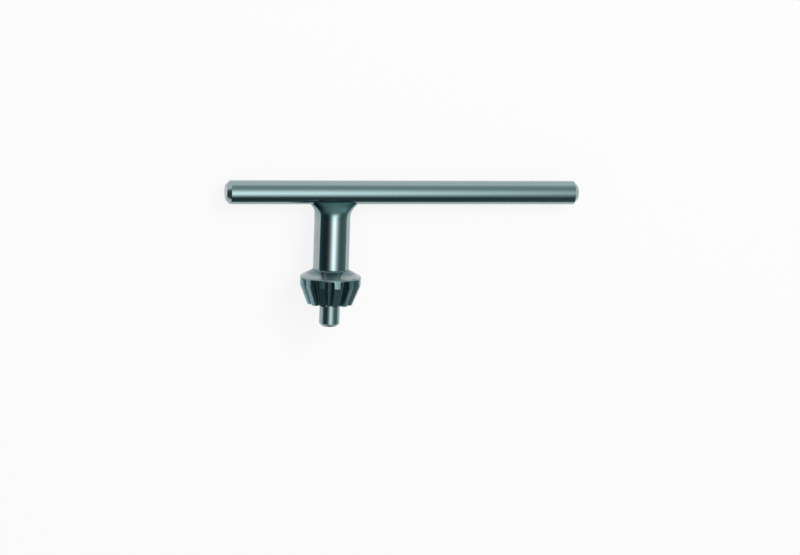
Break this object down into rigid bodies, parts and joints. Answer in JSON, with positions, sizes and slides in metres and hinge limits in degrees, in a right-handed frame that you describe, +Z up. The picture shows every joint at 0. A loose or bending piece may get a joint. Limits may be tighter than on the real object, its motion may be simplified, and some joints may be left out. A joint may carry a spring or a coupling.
{
  "type": "drill chuck key",
  "caption": "T-handled drill chuck key: round cross bar welded to a plain shank with a conical shoulder, a tapered bevel pinion and a pilot pin.",
  "frame": {"origin": "on the floor, under the middle of the resting key", "axes": "+X along the handle bar towards its longer arm, +Z up from the floor, +Y from the pilot's side to the bar's side"},
  "size_m": [0.106, 0.0426, 0.018],
  "materials": {
    "drawn_steel": "drawn and polished round bar, faint lines along it",
    "turned_steel": "fine turned and ground, milled tooth flanks"
  },
  "bodies": {
    "root": {"handle_bar": "drawn_steel", "key_body": "turned_steel"}
  },
  "joints": []
}
